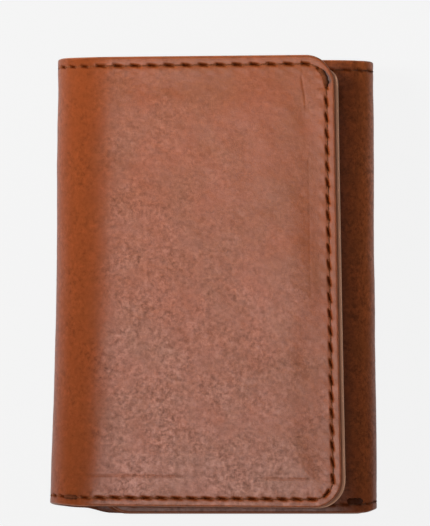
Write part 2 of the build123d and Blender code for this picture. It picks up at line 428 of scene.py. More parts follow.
class Outline:
    """A rectangle in (u, y) whose corners may be round. A cut end continues in the next piece."""

    def __init__(self, u_low, u_high, y_low, y_high, radii=(0, 0, 0, 0), cut_low=False, cut_high=False):
        self.u = (u_low, u_high)
        self.y = (y_low, y_high)
        self.radii = radii
        self.cut_low = cut_low
        self.cut_high = cut_high

    def place(self, u, y):
        """Moves points near the round corners. Radii are for low-low, high-low, low-high and high-high."""
        for n, radius in enumerate(self.radii):
            if not radius:
                continue
            u_end, y_end = self.u[n % 2], self.y[n // 2]
            u_way, y_way = (1, -1)[n % 2], (1, -1)[n // 2]
            a, b = round_corner((u - u_end) * u_way, (y - y_end) * y_way, radius)
            u, y = u_end + a * u_way, y_end + b * y_way
        return u, y


def rim_runs(ni, nj, cut_low, cut_high):
    """Grid places along the open edges, in order, and whether they close into a ring."""
    bottom, top = ([(i, j) for i in range(ni)] for j in (0, nj - 1))
    low, high = ([(i, j) for j in range(1, nj - 1)] for i in (0, ni - 1))
    if cut_low and cut_high:
        return [bottom, top[::-1]], False
    if cut_high:
        return [bottom[::-1] + low + top], False
    if cut_low:
        return [bottom + high + top[::-1]], False
    return [bottom + high + top[::-1] + low[::-1]], True


def new_object(name, data):
    thing = bpy.data.objects.new(name, data)
    bpy.context.scene.collection.objects.link(thing)
    return thing


def new_piece(name, points, faces, material):
    """A smooth mesh object from points in millimetres."""
    mesh = bpy.data.meshes.new(name)
    mesh.from_pydata((np.asarray(points) * MM).tolist(), [], faces)
    mesh.materials.append(material)
    piece = new_object(name, mesh)
    tidy = bmesh.new()
    tidy.from_mesh(mesh)
    bmesh.ops.recalc_face_normals(tidy, faces=tidy.faces)
    tidy.to_mesh(mesh)
    tidy.free()
    mesh.polygons.foreach_set("use_smooth", np.ones(len(mesh.polygons), bool))
    return piece


def tube_faces(rings, around, closed=False):
    """Quads between the rings of a tube, around points each. A closed tube's last ring meets its first."""
    faces = []
    for a in range(rings if closed else rings - 1):
        b = (a + 1) % rings
        for n in range(around):
            m = (n + 1) % around
            faces.append((a * around + n, a * around + m, b * around + m, b * around + n))
    return faces


def add_attribute(piece, name, values):
    attribute = piece.data.attributes.new(name, "FLOAT", "POINT")
    attribute.data.foreach_set("value", np.asarray(values, np.float32))


def add_flat_place(piece, u, y, layer):
    """Stores the flat place of every point, in millimetres, which the leather's grain follows."""
    attribute = piece.data.attributes.new("flat_place", "FLOAT_VECTOR", "POINT")
    attribute.data.foreach_set("vector", np.stack([u, y, layer], -1).astype(np.float32).ravel())


def flat_places(piece):
    """The stored u, y and layer of every point of a piece."""
    flat = np.zeros(len(piece.data.vertices) * 3, np.float32)
    piece.data.attributes["flat_place"].data.foreach_get("vector", flat)
    return flat.reshape(-1, 3).astype(float).T


def sheet(name, outline, u_marks, y_marks, faces_depth, edge, material, layer=0.0, rings=5):
    """A closed sheet with round free edges. u_marks and y_marks are its grid lines, whose free ends stand
    back by edge from the outline. faces_depth(u, y) gives the depths of its outer and inner face."""
    ni, nj = len(u_marks), len(y_marks)
    u, y = outline.place(*np.meshgrid(u_marks, y_marks, indexing="ij"))
    outer, inner = faces_depth(u, y)
    flats = [np.stack([u, y], -1).reshape(-1, 2)] * 2
    depths = [outer.ravel(), inner.ravel()]
    rim = [np.zeros(ni * nj), np.zeros(ni * nj)]
    faces = []

    def at(i, j, face):
        return face * ni * nj + i * nj + j

    for i in range(ni - 1):
        for j in range(nj - 1):
            faces.append((at(i, j, 0), at(i + 1, j, 0), at(i + 1, j + 1, 0), at(i, j + 1, 0)))
            faces.append((at(i, j, 1), at(i, j + 1, 1), at(i + 1, j + 1, 1), at(i + 1, j, 1)))
    runs, ring = rim_runs(ni, nj, outline.cut_low, outline.cut_high)
    count = 2 * ni * nj
    caps = {0: [], ni - 1: []}
    for run in runs:
        i_run, j_run = np.array(run).T
        loops = [[at(i, j, 0) for i, j in run]]
        for k in range(1, rings):
            angle = math.pi * k / rings
            inset = edge * (1 - math.sin(angle))
            u_ring, y_ring = u_marks[i_run], y_marks[j_run]
            if not outline.cut_low:
                u_ring[i_run == 0] = outline.u[0] + inset
            if not outline.cut_high:
                u_ring[i_run == ni - 1] = outline.u[1] - inset
            y_ring[j_run == 0] = outline.y[0] + inset
            y_ring[j_run == nj - 1] = outline.y[1] - inset
            u_ring, y_ring = outline.place(u_ring, y_ring)
            outer, inner = faces_depth(u_ring, y_ring)
            share = (1 - math.cos(angle)) / 2
            flats.append(np.stack([u_ring, y_ring], -1))
            depths.append(outer + (inner - outer) * share)
            rim.append(np.full(len(run), math.sin(angle)))
            loops.append(list(range(count, count + len(run))))
            count += len(run)
        loops.append([at(i, j, 1) for i, j in run])
        last = len(run) if ring else len(run) - 1
        for one, two in zip(loops, loops[1:]):
            for n in range(last):
                m = (n + 1) % len(run)
                faces.append((one[n], one[m], two[m], two[n]))
        if not ring:
            for n in (0, -1):
                caps[run[n][0]].append(tuple(loop[n] for loop in loops))
    for i, ends in caps.items():
        if ends:
            faces += [(at(i, j, 0), at(i, j + 1, 0), at(i, j + 1, 1), at(i, j, 1)) for j in range(nj - 1)]
            faces += ends
    flat = np.concatenate(flats)
    depth = np.concatenate(depths)
    piece = new_piece(name, fold(flat[:, 0], flat[:, 1], depth), faces, material)
    add_flat_place(piece, flat[:, 0], flat[:, 1], np.full(len(flat), layer) + depth)
    add_attribute(piece, "rim", np.concatenate(rim))
    sharpen_caps(piece, outline)
    return piece


def sharpen_caps(piece, outline):
    """Keeps the cut ends from rounding off the shading of the faces beside them."""
    ends = [u for u, cut in zip(outline.u, (outline.cut_low, outline.cut_high)) if cut]
    if not ends:
        return
    mesh = piece.data
    u = flat_places(piece)[0]
    on_end = np.min([np.abs(u - end) for end in ends], axis=0) < 1e-3
    edges = np.zeros(len(mesh.edges) * 2, np.int32)
    mesh.edges.foreach_get("vertices", edges)
    both = on_end[edges.reshape(-1, 2)].all(axis=1)
    sharp = mesh.attributes.get("sharp_edge") or mesh.attributes.new("sharp_edge", "BOOLEAN", "EDGE")
    sharp.data.foreach_set("value", both)


def span_nodes(stem, number):
    """The CAD nodes of a long sheet, or of its thread, on the two bodies that piece number joins."""
    return [f"{stem}_{body.replace('back_panel', 'back')}" for body in BODIES[number:number + 2]]


def stand_in(piece, node, body):
    """Replaces a CAD node by a piece that rides on one body."""
    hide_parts(node)
    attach(piece, body)


def hinge_bend(piece, number, depth):
    """Bakes a piece's transform into its mesh. It works out where the bend across hinge number would start
    and end at this depth, but doesn't use them: the piece isn't bent between the bodies beside it."""
    reach = (LEFT_R if number < 3 else RIGHT_R) * HINGE_STEP / 2
    ends = [-math.inf, *CUTS, math.inf]

    def place(u):
        x, z, nx, nz = (float(v) for v in fold_frame(np.array(u)))
        return Vector((x - nx * depth, 0.0, z - nz * depth)) * MM

    start = place(max(HINGES[number] - reach, ends[number]))
    end = place(min(HINGES[number] + reach, ends[number + 1]))
    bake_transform(piece)


# ------ materials

class Shading:
    """The nodes of a new material or world."""

    def __init__(self, owner):
        owner.use_nodes = True
        self.owner = owner
        self.nodes, self.links = owner.node_tree.nodes, owner.node_tree.links

    def put(self, value, socket):
        """Sets an input socket to a value, or links it to an output socket."""
        if isinstance(value, bpy.types.NodeSocket):
            self.links.new(value, socket)
        elif isinstance(value, tuple) and socket.type == "RGBA":
            socket.default_value = (*value, 1.0)
        else:
            socket.default_value = value

    def add(self, kind, **inputs):
        """A new node. inputs are named as its sockets are, with _ for a space."""
        node = self.nodes.new("ShaderNode" + kind)
        self.fill(node, **inputs)
        return node

    def fill(self, node, **inputs):
        for name, value in inputs.items():
            self.put(value, node.inputs[name.replace("_", " ")])

    def noise(self, vector, scale, detail=4.0, rough=0.55, distortion=0.0):
        """A noise texture whose scale is in marks per millimetre."""
        texture = self.add("TexNoise", Scale=scale, Detail=detail, Roughness=rough, Distortion=distortion,
                           Vector=vector)
        return texture.outputs["Fac"]

    def ramp(self, value, low, high, out_low=0.0, out_high=1.0):
        ends = {"From Min": low, "From Max": high, "To Min": out_low, "To Max": out_high}
        return self.add("MapRange", Value=value, **ends).outputs["Result"]

    def mix(self, factor, first, second, mode="MIX"):
        """A colour mix. first and second are colours or sockets, factor a number or a socket."""
        node = self.nodes.new("ShaderNodeMix")
        node.data_type = "RGBA"
        node.blend_type = mode
        for name, value in (("Factor", factor), ("A", first), ("B", second)):
            self.put(value, next(s for s in node.inputs if s.name == name and s.enabled))
        return next(s for s in node.outputs if s.enabled)

    def maths(self, operation, first, second):
        node = self.nodes.new("ShaderNodeMath")
        node.operation = operation
        self.put(first, node.inputs[0])
        self.put(second, node.inputs[1])
        return node.outputs[0]

    def attribute(self, name, output="Fac"):
        node = self.nodes.new("ShaderNodeAttribute")
        node.attribute_name = name
        return node.outputs[output]

    def bump(self, height, strength, distance):
        """The normal of a surface with this height on it. distance is in millimetres."""
        node = self.add("Bump", Strength=strength, Distance=distance * MM, Height=height)
        return node.outputs["Normal"]

    def mix_surface(self, factor, first, second, output):
        """Ends the nodes in a mix of two shaders."""
        both = self.add("MixShader", Fac=factor)
        self.put(first.outputs[0], both.inputs[1])
        self.put(second.outputs[0], both.inputs[2])
        self.put(both.outputs[0], self.nodes[output].inputs["Surface"])


def new_material(name):
    """A material's nodes and the flat place on the leather, which all of its patterns follow."""
    look = Shading(bpy.data.materials.new(name))
    return look, look.attribute("flat_place", "Vector")


def dress(look, **inputs):
    """Sets the inputs of a material's own shader and returns the material."""
    look.fill(look.nodes["Principled BSDF"], **inputs)
    return look.owner


def tinted(colour, *shares):
    """A colour with its channels scaled, each by its own share or all by the same one."""
    return tuple(channel * share for channel, share in zip(colour, shares * (3 // len(shares))))


def leather_flecks(look, place):
    """Flecks and blotches around 0.5. They are patchy, and faint where the leather is calm."""
    patchy = look.ramp(look.noise(place, 0.13, 2.0, 0.5), 0.36, 0.64, 0.60, 1.20)
    lively = look.maths("MULTIPLY", look.ramp(look.attribute("calm"), 0.0, 1.0, 1.0, 0.0), patchy)
    fine = look.maths("MULTIPLY", look.noise(place, 1.15, 4.0, 0.78), 0.60)
    blotch = look.maths("MULTIPLY", look.noise(place, 0.62, 3.0, 0.6, 0.6), 0.46)
    fleck = look.maths("SUBTRACT", look.maths("ADD", fine, blotch), 0.53)
    return look.maths("ADD", look.maths("MULTIPLY", fleck, lively), 0.5)


def leather_creases(look, place):
    """0 in the fine creases between the leather's small uneven cells, 1 on the cells."""
    swirl = look.add("TexNoise", Scale=0.8, Vector=place)
    warped = look.nodes.new("ShaderNodeVectorMath")
    look.put(place, warped.inputs[0])
    look.put(swirl.outputs["Color"], warped.inputs[1])
    cells = look.nodes.new("ShaderNodeTexVoronoi")
    cells.feature = "DISTANCE_TO_EDGE"
    look.fill(cells, Scale=1.25, Vector=warped.outputs[0])
    return look.ramp(cells.outputs["Distance"], 0.0, 0.12)


def leather(name, deep, mid, pale, edge_tone, roughness, grain=1.2, gloss=0.5):
    """Smooth vegetable-tanned leather: cloudy colour, pores, fine creases, cut edges in their own tone, and
    painted shade in holes, grooves and creases, painted broad shade and painted light where marked.
    """
    look, place = new_material(name)
    cloud = look.noise(place, 0.075, 4.0, 0.6, 0.4)
    mottle = look.noise(place, 0.45, 4.0, 0.62, 0.3)
    pores = look.noise(place, 4.2, 2.0, 0.5)
    fleck = leather_flecks(look, place)
    painted_shade, rim, pore_and_shade_tone = look.attribute("painted_shade"), look.attribute("rim"), tinted(deep, 0.87)

    colour = look.mix(look.ramp(cloud, 0.36, 0.64), mid, pale)
    colour = look.mix(look.ramp(mottle, 0.42, 0.66, 0.0, 0.28), colour, deep)
    # painted broad shade over the left fold's band and beside the flap's edge, where the wallet is shaded
    colour = look.mix(look.attribute("painted_broad_shade"), colour, pore_and_shade_tone)
    # painted light on the crest of the right fold, which faces the bright side
    colour = look.mix(look.attribute("painted_light"), colour, tinted(mid, 2.15))
    colour = look.mix(1.0, colour, look.ramp(fleck, 0.36, 0.64, 1.29, 0.57), "MULTIPLY")
    colour = look.mix(look.ramp(pores, 0.58, 0.72, 0.0, 0.30), colour, pore_and_shade_tone)
    # the cut edge's own tone, lightened as painted light on the cover and the divider
    colour = look.mix(look.ramp(rim, 0.15, 0.75, 0.0, 0.9), colour, edge_tone)
    # painted shade in needle holes, the seam's groove, impression lines and pocket creases
    colour = look.mix(painted_shade, colour, tinted(deep, 0.28, 0.20, 0.10))

    rough = look.ramp(fleck, 0.3, 0.7, roughness - 0.08, roughness + 0.08)
    rough = look.maths("ADD", rough, look.ramp(painted_shade, 0.0, 1.0, 0.0, 0.35))
    polish = look.ramp(fleck, 0.36, 0.64, 1.30 * gloss, 0.70 * gloss)
    polish = look.maths("MULTIPLY", polish, look.ramp(painted_shade, 0.0, 0.7, 1.0, 0.05))
    for dull in (look.attribute("matt"), rim):
        polish = look.maths("MULTIPLY", polish, look.ramp(dull, 0.0, 1.0, 1.0, 0.0))

    height = look.maths("MULTIPLY", leather_creases(look, place), 0.12)
    for layer, share in ((pores, 0.20), (fleck, 0.5), (mottle, 0.25)):
        height = look.maths("ADD", height, look.maths("MULTIPLY", layer, share))
    return dress(look, Base_Color=colour, Roughness=rough, Specular_IOR_Level=polish,
                 Normal=look.bump(height, 0.5 * grain, 0.10))


def cloth(name, warp_tone, weft_tone):
    """Fine twill lining."""
    look, place = new_material(name)
    turned = look.add("Mapping", Rotation=(0.0, 0.0, math.radians(58)), Vector=place)
    twill = look.add("TexWave", Scale=0.9, Distortion=0.6, Detail=2.0, Vector=turned.outputs[0])
    wave = twill.outputs["Fac"]
    colour = look.mix(wave, weft_tone, warp_tone)
    colour = look.mix(look.ramp(look.noise(place, 0.2), 0.4, 0.6, 0.0, 0.3), colour, weft_tone)
    return dress(look, Base_Color=colour, Roughness=0.85, Sheen_Weight=0.2,
                 Normal=look.bump(wave, 0.6, 0.08))


def waxed_thread(name, pale, deep):
    """Waxed thread, with painted shade towards its ends in the holes."""
    look, place = new_material(name)
    fibres = look.noise(place, 2.4, 4.0, 0.7, 0.5)
    colour = look.mix(look.ramp(fibres, 0.38, 0.66), deep, pale)
    colour = look.mix(look.attribute("painted_shade"), colour, tinted(deep, 0.5, 0.3, 0.12))
    return dress(look, Base_Color=colour, Roughness=look.ramp(fibres, 0.3, 0.7, 0.5, 0.75),
                 Specular_IOR_Level=0.12, Normal=look.bump(fibres, 0.4, 0.05))


def clear_film(name):
    """Clear film, with the faint waviness and haze of soft plastic."""
    look, place = new_material(name)
    haze = look.noise(place, 0.9, 4.0, 0.6)
    return dress(look, Base_Color=(0.82, 0.85, 0.86), Roughness=look.ramp(haze, 0.3, 0.7, 0.06, 0.16),
                 Alpha=look.ramp(haze, 0.3, 0.8, 0.18, 0.30),
                 Normal=look.bump(look.noise(place, 0.08, 2.0, 0.5), 0.5, 0.3))


# Each leather's tones are its deep, middle and pale one, and its cut edge's. The cover's edge tone is
# lightened as painted light on its sideways-facing rim, and the divider's tan edge is its raw edge
# brightened as a painted highlight.
COVER_LEATHER = leather(
    "cover_leather", (0.187, 0.0395, 0.0100), (0.272, 0.067, 0.0160), (0.312, 0.0690, 0.0175),
    (0.400, 0.140, 0.070), roughness=0.36, grain=1.0, gloss=0.84)
INNER_LEATHER = leather(
    "inner_leather", (0.120, 0.026, 0.009), (0.190, 0.044, 0.015), (0.230, 0.060, 0.022),
    (0.075, 0.020, 0.009), roughness=0.50)
POCKET_LEATHER = leather(
    "pocket_leather", (0.150, 0.035, 0.011), (0.235, 0.058, 0.019), (0.270, 0.074, 0.027),
    (0.330, 0.200, 0.110), roughness=0.50)
RAW_EDGE_HIGHLIT_LEATHER = leather(
    "raw_edge_highlit_leather", (0.160, 0.040, 0.014), (0.240, 0.064, 0.023), (0.280, 0.080, 0.030),
    (0.900, 0.490, 0.315), roughness=0.55, gloss=0.15)
LINING_CLOTH = cloth("lining_cloth", (0.060, 0.034, 0.024), (0.020, 0.011, 0.008))
THREAD = waxed_thread("waxed_thread", (0.190, 0.064, 0.028), (0.105, 0.030, 0.011))
FILM = clear_film("clear_film")


# ------ cover, lining and divider

def mark_cover_shade_and_light(piece):
    """Stores where the cover gets painted shade (needle holes, groove, impressions), painted broad shade
    (left fold band, beside the flap), painted light (outside of the right fold), matt finish and calm grain."""
    u, y, layer = flat_places(piece)
    across, along = seam_offset(u, y)
    slit = (1 - smooth(np.abs(along), 0.9, 1.5)) * (1 - 0.4 * smooth(u, U_BACK, U_BACK + 9))
    # painted shade in the needle holes, along the seam's groove and in the flap's impression lines
    dark = slit * bell(askew(u, across, along), 0.36) + 0.22 * bell(across, 0.33) + 0.13 * impression(u, y)
    outer_face = smooth(cover_outside(u, y) - layer, -1.2, -0.5)
    left = smooth(u, U_FLAP - 9.5, U_FLAP + 2.5) * (1 - smooth(u, U_LEFT - 2, U_LEFT + 5))
    beside_flap = smooth(u, U_RIGHT - 4, U_RIGHT + 1) * (u < U_RIGHT + 12)
    right_crest = u - (U_BACK + U_RIGHT) / 2
    shiny = bell(right_crest, 3.5) + 0.8 * smooth(u, U_FLAP + 9, U_FLAP + 15) * (u < U_LEFT)
    strip = smooth(u, U_BACK - 3, U_BACK + 3) * (0.35 + 0.3 * smooth(y + HALF_HEIGHT, 0.8, 3.0))
    calm = np.maximum(0.64 * smooth(y - 1.4 * u, -85, 15), 0.35 * smooth(u, U_FLAP - 8, U_FLAP + 2))
    marks = {
        "painted_shade": np.clip(dark, 0, 1) * outer_face,
        # painted broad shade: the left fold's band turning from the light, and the strip the flap shades
        "painted_broad_shade": 0.80 * left + 0.35 * beside_flap,
        # painted light on the right fold's crest, stronger towards the top
        "painted_light": bell(right_crest, 6.4) * (0.20 + 0.80 * smooth(y, -50, 30)),
        "matt": (0.45 * left + strip) * (1 - np.clip(shiny, 0, 1)),
        "calm": calm * (u < U_BACK),
    }
    for name, values in marks.items():
        add_attribute(piece, name, values)


def dye_rim_and_paint_light(piece):
    """Leaves the divider's raw tan edge only round the flap's free end, and paints the strip beyond the
    cover pale there as painted light on that ledge, which the cover's edge shades. Elsewhere it's dyed."""
    u, y, _ = flat_places(piece)
    stored = piece.data.attributes["rim"].data
    rim = np.zeros(len(u), np.float32)
    stored.foreach_get("value", rim)
    painted_light = 0.55 * smooth(-edge_distance(u, y), -0.3, 0.5)
    rim = np.maximum(rim, painted_light) * (1 - smooth(u, 3.0, 9.0))
    stored.foreach_set("value", rim.astype(np.float32))


def long_sheet(stem, y_ends, overhang, edge, spacing, radii, faces_depth, deepest, material,
               mark=None):
    """One sheet through both folds, in six pieces. overhang is how far it reaches past the cover's ends,
    spacing its grid's fine step, coarse step and fine band, radii those of its lower and upper corners, and
    deepest the depth of its inner face."""
    ends = [-overhang, *CUTS, U_END + overhang]
    y_marks = graded(y_ends[0] + edge, y_ends[1] - edge, *spacing)
    for number in range(len(HINGES)):
        first, last = number == 0, number == len(HINGES) - 1
        low, high = ends[number], ends[number + 1]
        corners = (radii[0] * first, radii[0] * last, radii[1] * first, radii[1] * last)
        outline = Outline(low, high, *y_ends, corners, not first, not last)
        u_marks = graded(low + edge * first, high - edge * last, *spacing, first, last)
        piece = sheet(f"{stem}_{number + 1}", outline, u_marks, y_marks, faces_depth, edge, material)
        if mark:
            mark(piece)
        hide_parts(*span_nodes(stem, number))
        hinge_bend(piece, number, deepest)


def cover_faces(u, y):
    outer = cover_outside(u, y) + 0.085 * impression(u, y)
    return outer, lie(u, y, COVER, COVER)


def lining_faces(u, y):
    return lie(u, y, LOOSE_LINING, TIGHT_LINING), lie(u, y, LOOSE_LINING + LINING, TIGHT_LINING + LINING)


def divider_faces(u, y):
    """The lining stops short of the flap's free edge, and the divider lies right under the cover there."""
    lift = 0.38 * (1 - smooth(u, -0.5, 0.35))
    return lie(u, y, LOOSE_DIVIDER, TIGHT_DIVIDER) - lift, divider_inside(u, y) - lift


long_sheet("cover", (-HALF_HEIGHT, HALF_HEIGHT), 0.0, 0.45, (0.25, 0.5, 8.5), (CORNER_R, CORNER_R),
           cover_faces, COVER, COVER_LEATHER, mark_cover_shade_and_light)
long_sheet("lining", (0.35 - HALF_HEIGHT, HALF_HEIGHT - 0.35), -0.35, 0.12, (0.8, 2.0, 3.2),
           (CORNER_R, CORNER_R), lining_faces, LOOSE_LINING + LINING, LINING_CLOTH)
long_sheet("bill_divider", (-HALF_HEIGHT - 0.15, DIVIDER_TOP + 1.2), 0.95, 0.6, (0.4, 1.6, 3.2),
           (CORNER_R, 4.0), divider_faces, LOOSE_DIVIDER + DIVIDER, RAW_EDGE_HIGHLIT_LEATHER,
           dye_rim_and_paint_light)


# ------ card pockets

def pocket_tightness(u, y, outline):
    """1 along a pocket's sewn sides and bottom, 0 in the middle and up to its open top."""
    du = np.minimum(u - outline.u[0], outline.u[1] - u)
    dy = y - outline.y[0]
    return 1 - smooth(np.minimum(du, dy), 2.6, 8.0)


def card_pockets(body):
    """Three stepped pockets. They stand out past the cover on the body's free side, less than in the CAD."""
    free_first = body == "front_flap"
    short = INNER_OVERHANG - 0.35
    crease_drop = 1.5
    edge = 0.22
    for number, level in enumerate(LEVELS):
        node = f"{level}_card_pocket_{body}"
        low, high = box_mm(node)
        start, end = sorted((u_of(body, low[0]), u_of(body, high[0])))
        start, end = (start + short, end) if free_first else (start, end - short)
        free = CORNER_R + 1.0 if level == LEVELS[-1] else 0.8
        corners = (free, 0.8, 1.5, 1.5) if free_first else (0.8, free, 1.5, 1.5)
        outline = Outline(start, end, low[1], high[1], corners)
        crease_y = high[1] - crease_drop

        def faces_depth(u, y, number=number, outline=outline, crease_y=crease_y):
            loose = 1 - pocket_tightness(u, y, outline)
            base = divider_inside(u, y) + POCKET * number + CARD_ROOM * (number + 1) * loose
            return base, base + POCKET - 0.10 * bell(crease_y - y, 0.22)

        u_marks = graded(start + edge, end - edge, 0.7, 1.5, 3.5)
        y_marks = graded(low[1] + edge, high[1] - edge, 0.25, 1.5, 3.0)
        piece = sheet(node.replace("card_pocket", "pocket"), outline, u_marks, y_marks, faces_depth, edge,
                      POCKET_LEATHER, 20.0 * (number + 1))
        # painted shade along the crease under each pocket's open top
        add_attribute(piece, "painted_shade", 0.55 * bell(flat_places(piece)[1] - crease_y, 0.3))
        stand_in(piece, node, body)


card_pockets("front_flap")
card_pockets("tucked_panel")


# ------ identity card window

# Half width, bottom, top, corner radius and thumb notch radius
WINDOW_OUTLINE = (30.0, FRAME_LOW[1], FRAME_HIGH[1], 1.5, 9.0)
WINDOW_OPENING = (23.0, -43.0, 27.0, 3.0, 0.0)
LOOP_POINTS = 360


def window_loop(half, low, high, radius, notch):
    """Points of the frame's outline or of its opening, from the bottom centre round, evenly spaced."""
    centre = (FRAME_LOW[0] + FRAME_HIGH[0]) / 2
    path = [(0.0, low)]
    path += arc(half - radius, low + radius, radius, -1, 0, 9)
    path += arc(half - radius, high - radius, radius, 0, 1, 9)
    path += arc(0.0, high, notch, 0, -1, 9) if notch else [(0.0, high)]
    path += [(-x, y) for x, y in reversed(path[:-1])]
    path = np.array(path)
    length = length_along(path)
    at = np.linspace(0, length[-1], LOOP_POINTS, endpoint=False)
    return np.stack([centre + np.interp(at, length, path[:, 0]), np.interp(at, length, path[:, 1])], -1)


def lift_at_middle(u, y):
    """How far the window stands off the divider, away from the seams."""
    return 0.5 * smooth(edge_distance(u, y), 3.0, 9.0)


def window_frame():
    """The leather frame, lofted from its outline to the round-cornered opening."""
    outside, inside = window_loop(*WINDOW_OUTLINE), window_loop(*WINDOW_OPENING)
    width = np.linalg.norm(outside - inside, axis=1)
    rim_share = 0.2 / width
    shares = [rim_share, *(np.full(LOOP_POINTS, s) for s in np.linspace(0.12, 0.88, 7)), 1 - rim_share]
    turn = np.linspace(0, math.pi, 6)[1:-1]
    rows = [(share, 0.0) for share in shares]
    rows += [(1 - rim_share * (1 - math.sin(t)), (1 - math.cos(t)) / 2) for t in turn]
    rows += [(share, 1.0) for share in reversed(shares)]
    rows += [(rim_share * (1 - math.sin(t)), (1 + math.cos(t)) / 2) for t in turn]
    points, flat, rim = [], [], []
    for share, face in rows:
        place = outside + (inside - outside) * share[:, None]
        u, y = u_of("back_panel", place[:, 0]), place[:, 1]
        crease = 0.12 * bell(share * width - 5.6, 0.3)
        depth = divider_inside(u, y) + 0.30 + lift_at_middle(u, y) + (WINDOW_LEATHER - crease) * face
        points.append(fold(u, y, depth))
        flat.append(np.stack([u, y, depth + 90]))
        rim.append(np.full(LOOP_POINTS, 0.8 if 0 < face < 1 else 0.0))
    faces = tube_faces(len(rows), LOOP_POINTS, closed=True)
    piece = new_piece("id_window_frame_leather", np.concatenate(points), faces, INNER_LEATHER)
    add_flat_place(piece, *np.concatenate(flat, axis=1))
    add_attribute(piece, "rim", np.concatenate(rim))
    stand_in(piece, "id_window_frame", "back_panel")


def window_film():
    """The film, a millimetre smaller than in the CAD on three sides, so that its edges stay hidden."""
    low, high = box_mm("id_window_film")
    start, end = u_of("back_panel", low[0]) + 1.0, u_of("back_panel", high[0]) - 1.0
    bottom, top = low[1] + 1.0, high[1]
    edge = 0.08

    def faces_depth(u, y):
        near = divider_inside(u, y) + 0.02 + lift_at_middle(u, y)
        return near, near + 0.25

    piece = sheet("id_window_clear_film", Outline(start, end, bottom, top, (0.5, 0.5, 0.5, 0.5)),
                  graded(start + edge, end - edge, 1, 3, 3), graded(bottom + edge, top - edge, 1, 3, 3),
                  faces_depth, edge, FILM, 70.0, 3)
    stand_in(piece, "id_window_film", "back_panel")


window_frame()
window_film()


# ------ stitches

def thread_tube(line, radius, twist, around=10):
    """A two-ply thread along a line of points: its points, their lengths along it, and its faces."""
    tangent = unit(np.gradient(line, axis=0))
    side = unit(np.cross(tangent, np.array([0.3, 0.2, 1.0])))
    up = np.cross(side, tangent)
    steps = length_along(line)
    angle = np.linspace(0, 2 * math.pi, around, endpoint=False)[None, :]
    ring = radius * (0.80 + 0.24 * np.abs(np.cos(angle - twist * steps[:, None])))
    points = (line[:, None, :] + side[:, None, :] * (ring * np.cos(angle))[..., None]
              + up[:, None, :] * (ring * np.sin(angle))[..., None]).reshape(-1, 3)
    faces = tube_faces(len(line), around)
    faces.append(tuple(range(around))[::-1])
    faces.append(tuple((len(line) - 1) * around + n for n in range(around)))
    return points, np.repeat(steps, around), faces


class ThreadPiece:
    """Collects stitches into one mesh."""

    def __init__(self):
        self.points, self.faces, self.flat, self.dark, self.count = [], [], [], [], 0

    def add(self, line, ends_dark, flat, radius=THREAD_R, twist=4.5):
        points, steps, faces = thread_tube(line, radius, twist)
        self.faces += [tuple(v + self.count for v in face) for face in faces]
        self.points.append(points)
        around = len(points) // len(line)
        self.dark.append(np.repeat(ends_dark, around))
        self.flat.append(np.stack([steps + flat[0], np.tile(np.arange(around) * 0.17, len(line)),
                                   np.full(len(points), flat[1])]))
        self.count += len(points)

    def make(self, name):
        piece = new_piece(name, np.concatenate(self.points), self.faces, THREAD)
        add_flat_place(piece, *np.concatenate(self.flat, axis=1))
        # painted shade on the thread towards its ends, where it dives into the holes
        add_attribute(piece, "painted_shade", np.concatenate(self.dark))
        return piece


def back_stitches():
    """The longer, thicker stitches at the seam's ends: each one's place along the seam, distance inside it,
    length, thickness and the painted shade laid all along it."""
    bottom_end = RUN_STARTS[6] + ARC_U
    return [
        (SEAM_SHORT - 0.2, 0.0, 4.4, 0.70, 0.45),
        (bottom_end - U_RIGHT - 2.0, 0.8, 3.8, 0.80, 0.8),
        (bottom_end - U_FLAP - 6.6, 0.0, 4.0, 0.60, 0.60),
    ]


def cover_stitches():
    """Each stitch rises from one needle hole and dives into the next, a little slanted."""
    pieces = [ThreadPiece() for _ in HINGES]
    rng = np.random.default_rng(21)
    share = np.linspace(-1, 1, 15)
    away = np.abs(share)

    def lay(flat, sink, dark, start, *thread):
        """Adds a stitch that lies sink deep in the cover's outer face."""
        bed = cover_outside(flat[:, 0], flat[:, 1], holes=False)
        line = fold(flat[:, 0], flat[:, 1], bed + sink)
        number = int(np.searchsorted(CUTS, flat[len(flat) // 2, 0]))
        pieces[number].add(line, dark, (start, rng.uniform(0, 40)), *thread)

    for n in range(sum(STITCHES)):
        slant = 0.10 + rng.uniform(-0.04, 0.04)
        lift = rng.uniform(-0.03, 0.04)
        q = slit_length(n + 0.5 + share * 0.47)
        flat = np.array([seam_place(v) for v in q])
        ahead = unit(np.array([seam_place(v + 0.05) for v in q]) - flat)
        flat = flat + np.stack([ahead[:, 1], -ahead[:, 0]], -1) * (slant * share)[:, None]
        # painted shade darkens each stitch towards its ends, where it dives into the holes
        lay(flat, 0.14 - lift + 0.75 * away ** 3, smooth(away, 0.35, 0.75), slit_length(n + 0.5))
    for start, inside, length, radius, painted_shade_share in back_stitches():
        q = start + (share + 1) / 2 * length
        flat = np.array([seam_place(v) for v in q]) + np.array([0.0, inside])
        lay(flat, -0.12 + 1.2 * away ** 6, np.maximum(smooth(away, 0.7, 1.0), painted_shade_share), start, radius, 2.6)
    for number, threads in enumerate(pieces):
        piece = threads.make(f"cover_stitches_{number + 1}")
        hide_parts(*span_nodes("cover_thread", number))
        hinge_bend(piece, number, COVER)


def inner_depth(body, u, y):
    """Depth of the innermost face of a panel, where the inside stitches lie."""
    base = divider_inside(u, y)
    if body == "back_panel":
        return base + np.where(y < FRAME_HIGH[1], 0.30 + WINDOW_LEATHER, 0.0)
    for level in LEVELS:
        low, high = box_mm(f"{level}_card_pocket_{body}")
        base = base + POCKET * ((y < high[1]) & (y > low[1]))
    return base


